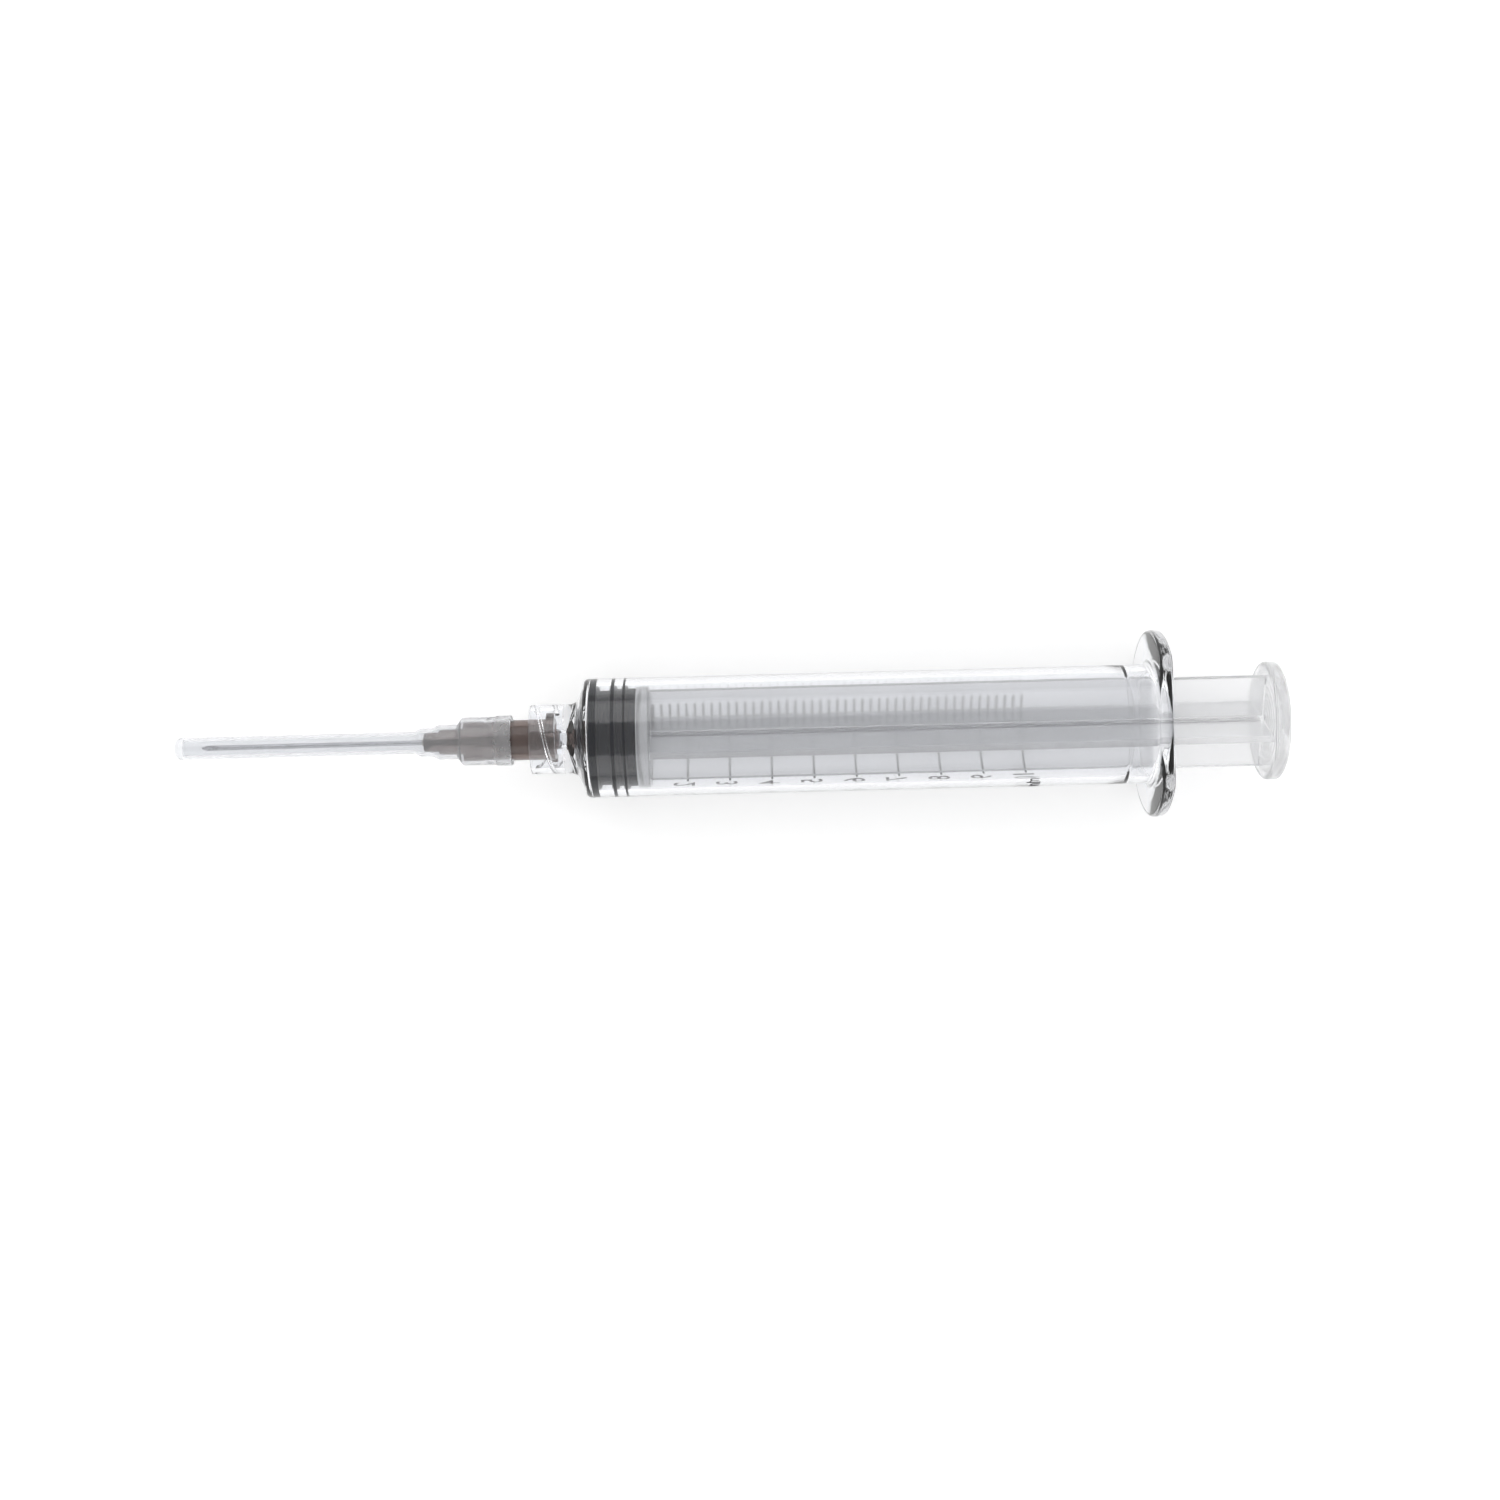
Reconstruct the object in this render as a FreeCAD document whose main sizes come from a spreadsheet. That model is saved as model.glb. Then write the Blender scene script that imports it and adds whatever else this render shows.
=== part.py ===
import FreeCAD, Part
import os
import re
import sys

import Sketcher

# Ten millilitre luer lock syringe with its needle and needle guard, at rest with the plunger
# pushed home. Lengths are in millimetres and angles in degrees.
#
# The common axis is X: the needle points to -X and the thumb press to +X. The finger flange
# spreads along Y, its two flat edges face up and down, and the printed scale faces -Z.
# The origin is on the axis, at the scale's zero line.

# Driving dimensions. A name that ends in _ahead is a distance from the zero line towards the
# needle, and one that ends in _behind is a distance towards the thumb press.
SIZES = {
    # Barrel tube, conical front and retention bead
    "bore_radius": 7.3,
    "barrel_wall": 1.0,
    "shoulder_ahead": 1.7,
    "front_wall": 0.85,
    "front_cone_angle": 24.5,
    "barrel_end_behind": 78.1,
    "bead_inset": 5.0,
    "bead_half_width": 0.8,
    "bead_height": 0.13,
    "mouth_chamfer": 0.5,
    "shoulder_rounding": 0.35,
    # Finger flange
    "flange_reach": 4.7,
    "flange_flat_reach": 1.3,
    "flange_thickness": 1.8,
    "flange_corner": 2.5,
    "flange_rounding": 0.5,
    "flange_root": 0.7,
    # Male luer tip and locking collar
    "collar_floor_gap": 0.35,
    "collar_depth": 4.6,
    "collar_bore_radius": 4.05,
    "collar_wall": 0.8,
    "collar_rounding": 0.2,
    "thread_lead": 5.0,
    "thread_height": 0.5,
    "thread_root": 0.6,
    "thread_crest": 0.34,
    "thread_inset": 0.75,
    "thread_run": 3.2,
    "luer_tip_length": 7.1,
    "luer_tip_radius": 1.98,
    "luer_taper": 0.03,
    "tip_channel_radius": 0.95,
    # Stopper
    "nose_gap": 0.1,
    "nose_tip_radius": 1.4,
    "ring_clearance": 0.03,
    "front_ring_width": 1.3,
    "front_recess_width": 1.65,
    "front_recess_depth": 0.7,
    "middle_ring_width": 0.85,
    "rear_recess_width": 0.8,
    "rear_recess_depth": 0.5,
    "rear_ring_width": 0.7,
    "heel_length": 1.1,
    "heel_depth": 0.45,
    "ring_rounding": 0.25,
    # Plunger rod
    "rod_angle": 23.0,
    "front_disc_gap": 0.1,
    "front_disc_clearance": 0.12,
    "front_disc_thickness": 1.8,
    "fin_inset": 0.4,
    "fin_thickness": 1.0,
    "press_standoff": 14.2,
    "press_overhang": 1.2,
    "press_thickness": 2.0,
    "press_rounding": 0.6,
    "seat_neck_radius": 2.4,
    "seat_neck_length": 2.2,
    "seat_head_radius": 3.6,
    "seat_head_length": 2.6,
    "seat_clearance": 0.12,
    # Needle hub
    "hub_engagement": 5.9,
    "lug_radius": 3.9,
    "lug_half_width": 1.5,
    "lug_thickness": 1.1,
    "lug_angle": -37.0,
    "hub_skirt_radius": 2.83,
    "hub_skirt_length": 5.9,
    "grip_radius": 2.72,
    "grip_length": 2.9,
    "rib_length": 3.9,
    "rib_root_radius": 2.15,
    "rib_half_width": 0.38,
    "rib_angle": -8.0,
    "shank_radius": 1.8,
    "shank_length": 3.5,
    "hub_nose_radius": 1.35,
    "hub_nose_length": 2.1,
    "hub_rounding": 0.15,
    "luer_clearance": 0.03,
    "socket_length": 7.9,
    "flow_radius": 0.6,
    "flow_length": 3.0,
    "glue_well_radius": 0.95,
    "glue_well_depth": 1.4,
    # Cannula and its adhesive
    "cannula_radius": 0.36,
    "cannula_bore_radius": 0.2,
    "cannula_reach": 31.2,
    "cannula_seat": 6.8,
    "cannula_clearance": 0.02,
    "bevel_length": 2.6,
    "glue_rise": 0.35,
    "glue_crown": 0.12,
    "glue_clearance": 0.03,
    # Needle guard
    "guard_clearance": 0.08,
    "guard_wall": 0.55,
    "guard_seat_gap": 0.2,
    "guard_step_length": 1.0,
    "guard_slim_bore": 1.0,
    "guard_tip_gap": 2.4,
    "guard_tip_thickness": 1.2,
    "guard_tip_rounding": 0.9,
    "guard_rim_height": 0.12,
    "guard_rim_length": 2.2,
    # Printed scale; a cube of the named side holds a millilitre
    "millilitre_side": 10.0,
    "number_of_millilitres": 10,
    "lines_per_millilitre": 5,
    "ink_thickness": 0.03,
    "line_width": 0.28,
    "scale_edge_angle": 40.0,
    "long_line_angle": 102.0,
    "short_line_angle": 38.0,
}

# How far a cutting outline runs past the material that it cuts, and how near two places
# must be to count as one.
PAST = 1.0
NEAR = 1e-4

document = FreeCAD.newDocument("Syringe")
sheet = document.addObject("Spreadsheet::Sheet", "Sizes")
for row, (name, size) in enumerate(SIZES.items(), start=1):
    sheet.set(f"A{row}", name)
    sheet.set(f"B{row}", str(size))
    sheet.setAlias(f"B{row}", name)
document.recompute()


def linked(formula):
    """The formula with the name of each size turned into its cell of the sheet."""
    def cell(word):
        return f"Sizes.{word.group()}" if word.group() in SIZES else word.group()
    return re.sub(r"[a-z]\w*", cell, formula)


def worked_out(formula):
    """The formula's present value."""
    return float(sheet.evalExpression(linked(formula)))


def bind(thing, target, formula):
    """Tie a property of an object to a formula of sizes."""
    thing.setExpression(target, linked(formula))


# Sketches and features

def new_body(name):
    """An empty body, whose label names its file."""
    body = document.addObject("PartDesign::Body", name)
    body.Label = name
    body.AllowCompound = True
    return body


def outline(body, name, role, corners):
    """A closed sketch of straight edges, with each corner held at a pair of formulas."""
    sketch = body.newObject("Sketcher::SketchObject", name)
    planes = body.Origin.OriginFeatures
    sketch.AttachmentSupport = (next(one for one in planes if one.Role == role), [""])
    sketch.MapMode = "FlatFace"
    points = [FreeCAD.Vector(worked_out(across), worked_out(up), 0) for across, up in corners]
    for start, end in zip(points, points[1:] + points[:1]):
        sketch.addGeometry(Part.LineSegment(start, end))
    for edge, (across, up) in enumerate(corners):
        following = (edge + 1) % len(corners)
        sketch.addConstraint(Sketcher.Constraint("Coincident", edge, 2, following, 1))
        for kind, formula in (("DistanceX", across), ("DistanceY", up)):
            place = worked_out(formula)
            index = sketch.addConstraint(Sketcher.Constraint(kind, -1, 1, edge, 1, place))
            bind(sketch, f"Constraints[{index}]", formula)
    return sketch


def turned(body, name, kind, corners):
    """A Revolution or a Groove about the axis, of (along the axis, radius) corners."""
    sketch = outline(body, f"{name}_outline", "XZ_Plane", corners)
    feature = body.newObject(f"PartDesign::{kind}", name)
    feature.Profile = (sketch, [""])
    feature.ReferenceAxis = (sketch, ["H_Axis"])
    feature.Angle = 360
    return feature


def swung(sketch, angle):
    """Swing a sketch that holds the axis about that axis, by a formula's angle."""
    turn = FreeCAD.Rotation(FreeCAD.Vector(1, 0, 0), worked_out(angle))
    sketch.AttachmentOffset = FreeCAD.Placement(FreeCAD.Vector(), turn)
    bind(sketch, ".AttachmentOffset.Rotation.Angle", angle)


def bar(body, name, half_across, half_up, start, length, turn="0"):
    """A pad of a centred rectangle from start along +X, turned about the axis."""
    corners = [
        (f"-({half_across})", f"-({half_up})"),
        (half_across, f"-({half_up})"),
        (half_across, half_up),
        (f"-({half_across})", half_up),
    ]
    sketch = outline(body, f"{name}_outline", "YZ_Plane", corners)
    sketch.AttachmentOffset = FreeCAD.Placement(
        FreeCAD.Vector(0, 0, worked_out(start)),
        FreeCAD.Rotation(FreeCAD.Vector(0, 0, 1), worked_out(turn)),
    )
    bind(sketch, ".AttachmentOffset.Base.z", start)
    bind(sketch, ".AttachmentOffset.Rotation.Angle", turn)
    feature = body.newObject("PartDesign::Pad", name)
    feature.Profile = (sketch, [""])
    bind(feature, "Length", length)
    return feature


def trimmed(body, name, radius, start, end):
    """A groove that leaves nothing outside a radius between two places on the axis."""
    beyond = f"2 * {radius}"
    corners = [(start, radius), (end, radius), (end, beyond), (start, beyond)]
    return turned(body, name, "Groove", corners)


def across_axis(rims):
    """A test for edges in planes across the axis, between a least and a greatest radius."""
    limits = [tuple(worked_out(formula) for formula in rim) for rim in rims]

    def wanted(points, reaches):
        for along, least, most in limits:
            flat = all(abs(point.x - along) < NEAR for point in points)
            if flat and min(reaches) > least - NEAR and max(reaches) < most + NEAR:
                return True
        return False
    return wanted


def along_axis(least):
    """A test for edges that run along the axis, further from it than a radius."""
    limit = worked_out(least)

    def wanted(points, reaches):
        level = max(reaches) - min(reaches) < NEAR
        return level and min(reaches) > limit and points[0].x != points[-1].x
    return wanted


def rounded(body, name, radius, wanted):
    """A fillet of the edges that pass a test of their two ends and middle."""
    document.recompute()
    base = body.Tip
    names = []
    for number, edge in enumerate(base.Shape.Edges, start=1):
        first, last = edge.ParameterRange
        points = [edge.valueAt(place) for place in (first, (first + last) / 2, last)]
        reaches = [(point.y ** 2 + point.z ** 2) ** 0.5 for point in points]
        if wanted(points, reaches):
            names.append(f"Edge{number}")
    feature = body.newObject("PartDesign::Fillet", name)
    feature.Base = (base, names)
    bind(feature, "Radius", radius)
    return feature


# Places that several pieces share

BARREL_RADIUS = "(bore_radius + barrel_wall)"
SHOULDER = "(-shoulder_ahead)"
BARREL_END = "barrel_end_behind"
FLANGE_FRONT = "(barrel_end_behind - flange_thickness)"
FLANGE_RADIUS = f"({BARREL_RADIUS} + flange_reach)"
FLANGE_FLAT = f"({BARREL_RADIUS} + flange_flat_reach)"
BEAD = "(barrel_end_behind - bead_inset)"


def front_face(radius):
    """Where the barrel's conical front has its outer surface, at a radius."""
    return f"({SHOULDER} - ({BARREL_RADIUS} - ({radius})) * tan(front_cone_angle))"


def bore_end(radius):
    """Where the barrel's conical front has its inner surface, at a radius."""
    return f"({front_face(radius)} + front_wall)"


def luer_radius(along):
    """The male luer tip's radius at a place on the axis."""
    return f"(luer_tip_radius + luer_taper * ({along} - {LUER_FRONT}))"


COLLAR_FLOOR = f"({front_face('luer_tip_radius')} - collar_floor_gap)"
COLLAR_FRONT = f"({COLLAR_FLOOR} - collar_depth)"
COLLAR_RADIUS = "(collar_bore_radius + collar_wall)"
LUER_FRONT = f"({COLLAR_FLOOR} - luer_tip_length)"
HUB_REAR = f"({LUER_FRONT} + hub_engagement)"
LUG_MIDDLE = f"({HUB_REAR} - lug_thickness / 2)"


def add_collar_thread(body):
    """Two right-hand flights inside the collar, each midway between the turns of a lug.

    Their roots are sunk a quarter of the wall into the collar.
    """
    start = f"({COLLAR_FRONT} + thread_inset)"
    crest = "collar_bore_radius - thread_height"
    root = "collar_bore_radius + collar_wall / 4"
    sketch = outline(body, "flight_outline", "XZ_Plane", [
        (f"{start} - thread_root / 2", root),
        (f"{start} - thread_crest / 2", crest),
        (f"{start} + thread_crest / 2", crest),
        (f"{start} + thread_root / 2", root),
    ])
    swung(sketch, f"lug_angle + 360 * (({start} - {LUG_MIDDLE}) / thread_lead + 0.25)")
    flight = body.newObject("PartDesign::AdditiveHelix", "flight")
    flight.Profile = (sketch, [""])
    flight.ReferenceAxis = (sketch, ["H_Axis"])
    flight.Mode = "pitch-height-angle"
    bind(flight, "Pitch", "thread_lead")
    bind(flight, "Height", "thread_run")
    second = body.newObject("PartDesign::PolarPattern", "flights")
    second.Originals = [flight]
    second.Axis = (sketch, ["H_Axis"])
    second.Angle = 360
    second.Occurrences = 2
    body.Tip = second


def make_barrel():
    """Tube, conical front, luer tip, locking collar and finger flange in one moulding."""
    body = new_body("barrel")
    bar(body, "flange", FLANGE_RADIUS, FLANGE_FLAT, FLANGE_FRONT, "flange_thickness")
    flange_rear = f"{BARREL_END} + {PAST}"
    trimmed(body, "flange_ends", FLANGE_RADIUS, f"{FLANGE_FRONT} - {PAST}", flange_rear)
    rounded(body, "flange_corners", "flange_corner", along_axis(FLANGE_FLAT))
    turned(body, "shell", "Revolution", [
        (LUER_FRONT, "0"),
        (LUER_FRONT, "luer_tip_radius"),
        (COLLAR_FLOOR, luer_radius(COLLAR_FLOOR)),
        (COLLAR_FLOOR, "collar_bore_radius"),
        (COLLAR_FRONT, "collar_bore_radius"),
        (COLLAR_FRONT, COLLAR_RADIUS),
        (front_face(COLLAR_RADIUS), COLLAR_RADIUS),
        (SHOULDER, BARREL_RADIUS),
        (BARREL_END, BARREL_RADIUS),
        (BARREL_END, "0"),
    ])
    turned(body, "bore", "Groove", [
        (f"{LUER_FRONT} - {PAST}", "0"),
        (f"{LUER_FRONT} - {PAST}", "tip_channel_radius"),
        (bore_end("tip_channel_radius"), "tip_channel_radius"),
        (bore_end("bore_radius"), "bore_radius"),
        (f"{BEAD} - bead_half_width", "bore_radius"),
        (BEAD, "bore_radius - bead_height"),
        (f"{BEAD} + bead_half_width", "bore_radius"),
        (f"{BARREL_END} - mouth_chamfer", "bore_radius"),
        (BARREL_END, "bore_radius + mouth_chamfer"),
        (f"{BARREL_END} + {PAST}", "bore_radius + mouth_chamfer"),
        (f"{BARREL_END} + {PAST}", "0"),
    ])
    rounded(body, "flange_edges", "flange_rounding", across_axis([
        (FLANGE_FRONT, FLANGE_FLAT, FLANGE_RADIUS),
        (BARREL_END, FLANGE_FLAT, FLANGE_RADIUS),
    ]))
    root = (FLANGE_FRONT, BARREL_RADIUS, BARREL_RADIUS)
    rounded(body, "flange_fillet", "flange_root", across_axis([root]))
    shoulder = (SHOULDER, BARREL_RADIUS, BARREL_RADIUS)
    rounded(body, "shoulder_edge", "shoulder_rounding", across_axis([shoulder]))
    rounded(body, "collar_edges", "collar_rounding", across_axis([
        (COLLAR_FRONT, "collar_bore_radius", COLLAR_RADIUS),
        (LUER_FRONT, "luer_tip_radius", "luer_tip_radius"),
    ]))
    add_collar_thread(body)


# Stopper, from its nose back to its heel

RING_RADIUS = "(bore_radius - ring_clearance)"


def nose_face(radius):
    """Where the stopper's nose cone lies at a radius, just behind the barrel's."""
    return f"({bore_end(radius)} + nose_gap)"


FRONT_RING_REAR = f"({nose_face(RING_RADIUS)} + front_ring_width)"
MIDDLE_RING_FRONT = f"({FRONT_RING_REAR} + front_recess_width)"
MIDDLE_RING_REAR = f"({MIDDLE_RING_FRONT} + middle_ring_width)"
REAR_RING_FRONT = f"({MIDDLE_RING_REAR} + rear_recess_width)"
REAR_RING_REAR = f"({REAR_RING_FRONT} + rear_ring_width)"
HEEL = f"({REAR_RING_REAR} + heel_length)"

FRONT_DISC = f"({HEEL} + front_disc_gap)"
FRONT_DISC_REAR = f"({FRONT_DISC} + front_disc_thickness)"
HEAD_REAR = f"({FRONT_DISC} - seat_neck_length)"
HEAD_FRONT = f"({HEAD_REAR} - seat_head_length)"


def make_stopper():
    """Rubber plunger head: conical nose, three rings, and an undercut seat for the rod."""
    body = new_body("stopper")
    front_recess = f"{RING_RADIUS} - front_recess_depth"
    rear_recess = f"{RING_RADIUS} - rear_recess_depth"
    heel_radius = f"{RING_RADIUS} - heel_depth"
    turned(body, "rings", "Revolution", [
        (nose_face("nose_tip_radius"), "0"),
        (nose_face("nose_tip_radius"), "nose_tip_radius"),
        (nose_face(RING_RADIUS), RING_RADIUS),
        (FRONT_RING_REAR, RING_RADIUS),
        (FRONT_RING_REAR, front_recess),
        (MIDDLE_RING_FRONT, front_recess),
        (MIDDLE_RING_FRONT, RING_RADIUS),
        (MIDDLE_RING_REAR, RING_RADIUS),
        (MIDDLE_RING_REAR, rear_recess),
        (REAR_RING_FRONT, rear_recess),
        (REAR_RING_FRONT, RING_RADIUS),
        (REAR_RING_REAR, RING_RADIUS),
        (REAR_RING_REAR, heel_radius),
        (HEEL, heel_radius),
        (HEEL, "0"),
    ])
    neck_bore = "seat_neck_radius + seat_clearance"
    turned(body, "seat", "Groove", [
        (f"{HEAD_FRONT} - seat_clearance", "0"),
        (f"{HEAD_FRONT} - seat_clearance", neck_bore),
        (f"{HEAD_REAR} + seat_clearance", "seat_head_radius + seat_clearance"),
        (f"{HEAD_REAR} + seat_clearance", neck_bore),
        (f"{HEEL} + {PAST}", neck_bore),
        (f"{HEEL} + {PAST}", "0"),
    ])
    places = [
        nose_face(RING_RADIUS),
        FRONT_RING_REAR,
        MIDDLE_RING_FRONT,
        MIDDLE_RING_REAR,
        REAR_RING_FRONT,
        REAR_RING_REAR,
    ]
    rims = [(along, RING_RADIUS, RING_RADIUS) for along in places]
    rounding = "min(ring_rounding; 0.45 * rear_ring_width)"
    rounded(body, "ring_edges", rounding, across_axis(rims))


def make_plunger_rod():
    """Crossed fins between a front disc and a thumb press, with a head for the stopper."""
    body = new_body("plunger_rod")
    disc_radius = "(bore_radius - bead_height - front_disc_clearance)"
    fin_radius = f"({disc_radius} - fin_inset)"
    press_radius = f"({disc_radius} + press_overhang)"
    press_front = f"({BARREL_END} + press_standoff)"
    press_rear = f"({press_front} + press_thickness)"
    half = "fin_thickness / 2"
    reach = f"sqrt({fin_radius} ^ 2 - ({half}) ^ 2)"
    length = f"{press_front} - {FRONT_DISC}"
    bar(body, "level_fins", reach, half, FRONT_DISC, length, "rod_angle")
    bar(body, "upright_fins", half, reach, FRONT_DISC, length, "rod_angle")
    turned(body, "head", "Revolution", [
        (HEAD_FRONT, "0"),
        (HEAD_FRONT, "seat_neck_radius"),
        (HEAD_REAR, "seat_head_radius"),
        (HEAD_REAR, "seat_neck_radius"),
        (FRONT_DISC, "seat_neck_radius"),
        (FRONT_DISC, disc_radius),
        (FRONT_DISC_REAR, disc_radius),
        (FRONT_DISC_REAR, "0"),
    ])
    turned(body, "thumb_press", "Revolution", [
        (press_front, "0"),
        (press_front, press_radius),
        (press_rear, press_radius),
        (press_rear, "0"),
    ])
    rounded(body, "press_edges", "press_rounding", across_axis([
        (press_front, press_radius, press_radius),
        (press_rear, press_radius, press_radius),
    ]))


# Needle hub, from its lugs forward to its nose

SKIRT_FRONT = f"({HUB_REAR} - hub_skirt_length)"
GRIP_FRONT = f"({SKIRT_FRONT} - grip_length)"
RIB_FRONT = f"({GRIP_FRONT} - rib_length)"
SHANK_FRONT = f"({RIB_FRONT} - shank_length)"
HUB_FRONT = f"({SHANK_FRONT} - hub_nose_length)"
SOCKET_END = f"({HUB_REAR} - socket_length)"
SEAT_BORE = "(cannula_radius + cannula_clearance)"


def socket_radius(along):
    """The hub's female luer socket, just clear of the male tip."""
    return f"({luer_radius(along)} + luer_clearance)"


def make_needle_hub():
    """Luer hub: two lugs, a smooth skirt, a ribbed grip, a shank and a nose."""
    body = new_body("needle_hub")
    lug_front = f"({HUB_REAR} - lug_thickness)"
    bar(body, "lugs", "lug_half_width", "lug_radius", lug_front, "lug_thickness", "lug_angle")
    trimmed(body, "lug_ends", "lug_radius", f"{lug_front} - {PAST}", f"{HUB_REAR} + {PAST}")
    rib_end = f"{GRIP_FRONT} - {RIB_FRONT}"
    bar(body, "level_ribs", "grip_radius", "rib_half_width", RIB_FRONT, rib_end, "rib_angle")
    bar(body, "upright_ribs", "rib_half_width", "grip_radius", RIB_FRONT, rib_end, "rib_angle")
    turned(body, "shell", "Revolution", [
        (HUB_FRONT, "0"),
        (HUB_FRONT, "hub_nose_radius"),
        (SHANK_FRONT, "hub_nose_radius"),
        (SHANK_FRONT, "shank_radius"),
        (RIB_FRONT, "shank_radius"),
        (RIB_FRONT, "rib_root_radius"),
        (GRIP_FRONT, "rib_root_radius"),
        (GRIP_FRONT, "grip_radius"),
        (SKIRT_FRONT, "grip_radius"),
        (SKIRT_FRONT, "hub_skirt_radius"),
        (HUB_REAR, "hub_skirt_radius"),
        (HUB_REAR, "0"),
    ])
    flow_front = f"({SOCKET_END} - flow_length)"
    turned(body, "socket", "Groove", [
        (f"{HUB_FRONT} - {PAST}", "0"),
        (f"{HUB_FRONT} - {PAST}", "glue_well_radius"),
        (HUB_FRONT, "glue_well_radius"),
        (f"{HUB_FRONT} + glue_well_depth", SEAT_BORE),
        (flow_front, SEAT_BORE),
        (flow_front, "flow_radius"),
        (SOCKET_END, "flow_radius"),
        (SOCKET_END, socket_radius(SOCKET_END)),
        (HUB_REAR, socket_radius(HUB_REAR)),
        (f"{HUB_REAR} + {PAST}", socket_radius(HUB_REAR)),
        (f"{HUB_REAR} + {PAST}", "0"),
    ])
    rounded(body, "hub_edges", "hub_rounding", across_axis([
        (HUB_FRONT, "hub_nose_radius", "hub_nose_radius"),
        (SHANK_FRONT, "shank_radius", "shank_radius"),
    ]))


CANNULA_TIP = f"({HUB_FRONT} - cannula_reach)"


def make_cannula():
    """Steel needle tube, ground to one long bevel that faces up."""
    body = new_body("cannula")
    cannula_rear = f"({HUB_FRONT} + cannula_seat)"
    turned(body, "tube", "Revolution", [
        (CANNULA_TIP, "cannula_bore_radius"),
        (CANNULA_TIP, "cannula_radius"),
        (cannula_rear, "cannula_radius"),
        (cannula_rear, "cannula_bore_radius"),
    ])
    sketch = outline(body, "bevel_outline", "XZ_Plane", [
        (f"{CANNULA_TIP} - {PAST}", "-cannula_radius"),
        (CANNULA_TIP, "-cannula_radius"),
        (f"{CANNULA_TIP} + bevel_length", "cannula_radius"),
        (f"{CANNULA_TIP} + bevel_length", f"cannula_radius + {PAST}"),
        (f"{CANNULA_TIP} - {PAST}", f"cannula_radius + {PAST}"),
    ])
    bevel = body.newObject("PartDesign::Pocket", "bevel")
    bevel.Profile = (sketch, [""])
    bevel.Type = "ThroughAll"
    bevel.SideType = "Symmetric"


def make_hub_adhesive():
    """Bead that fills the well in the hub's nose and rises a little around the cannula."""
    body = new_body("hub_adhesive")
    filled = f"(1 - glue_clearance / (glue_well_radius - {SEAT_BORE}))"
    turned(body, "bead", "Revolution", [
        (f"{HUB_FRONT} - glue_rise", SEAT_BORE),
        (f"{HUB_FRONT} - glue_rise", f"{SEAT_BORE} + glue_crown"),
        (HUB_FRONT, "glue_well_radius - glue_clearance"),
        (f"{HUB_FRONT} + glue_well_depth * {filled}", SEAT_BORE),
    ])


def make_needle_guard():
    """Closed sheath: a wide rear that grips the hub, and a slim tube over the cannula."""
    body = new_body("needle_guard")
    rear = f"({SKIRT_FRONT} - guard_seat_gap)"
    inside = [
        (rear, "grip_radius + guard_clearance"),
        (f"{RIB_FRONT} - guard_seat_gap", "grip_radius + guard_clearance"),
        (f"{RIB_FRONT} - guard_step_length", "shank_radius + guard_clearance"),
        (f"{SHANK_FRONT} - guard_seat_gap", "shank_radius + guard_clearance"),
        (f"{SHANK_FRONT} - guard_step_length", "hub_nose_radius + guard_clearance"),
        (f"{HUB_FRONT} - glue_rise - guard_seat_gap", "hub_nose_radius + guard_clearance"),
        (f"{HUB_FRONT} - glue_rise - guard_step_length", "guard_slim_bore"),
        (f"{CANNULA_TIP} - guard_tip_gap", "guard_slim_bore"),
    ]
    tip = f"({CANNULA_TIP} - guard_tip_gap - guard_tip_thickness)"
    outside = [(along, f"{radius} + guard_wall") for along, radius in inside[:-1]]
    rim_radius = f"{outside[0][1]} + guard_rim_height"
    rim_front = f"{rear} - guard_rim_length"
    turned(body, "sheath", "Revolution", [
        (rear, "0"),
        (rear, rim_radius),
        (rim_front, rim_radius),
        (rim_front, outside[0][1]),
        *outside[1:],
        (tip, "guard_slim_bore + guard_wall"),
        (tip, "0"),
    ])
    turned(body, "inside", "Groove", [
        (f"{rear} + {PAST}", "0"),
        (f"{rear} + {PAST}", inside[0][1]),
        *inside[1:],
        (inside[-1][0], "0"),
    ])
    slim = "guard_slim_bore + guard_wall"
    tip_edge = across_axis([(tip, slim, slim)])
    rounded(body, "closed_end", "min(guard_tip_rounding; guard_tip_thickness)", tip_edge)


def printed_arcs(body, name, start, angle):
    """One printed line: a thin arc of ink from the scale's edge, at the zero line."""
    width = "line_width / 2"
    ink = f"{BARREL_RADIUS} + ink_thickness"
    corners = [
        (f"{start} - {width}", f"-({BARREL_RADIUS})"),
        (f"{start} + {width}", f"-({BARREL_RADIUS})"),
        (f"{start} + {width}", f"-({ink})"),
        (f"{start} - {width}", f"-({ink})"),
    ]
    feature = turned(body, name, "Revolution", corners)
    bind(feature, "Angle", angle)
    feature.Reversed = True
    swung(feature.Profile[0], "scale_edge_angle")
    return feature


def repeated(body, name, feature, first, second=None):
    """A pattern along the axis; each direction is a (count, spacing) pair of formulas."""
    pattern = body.newObject("PartDesign::LinearPattern", name)
    pattern.Originals = [feature]
    pattern.Direction = (feature.Profile[0], ["H_Axis"])
    bind(pattern, "Occurrences", first[0])
    bind(pattern, "Length", f"({first[0]} - 1) * {first[1]}")
    if second:
        pattern.Direction2 = (feature.Profile[0], ["H_Axis"])
        bind(pattern, "Occurrences2", second[0])
        bind(pattern, "Length2", f"({second[0]} - 1) * {second[1]}")
    body.Tip = pattern
    return pattern


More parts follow.
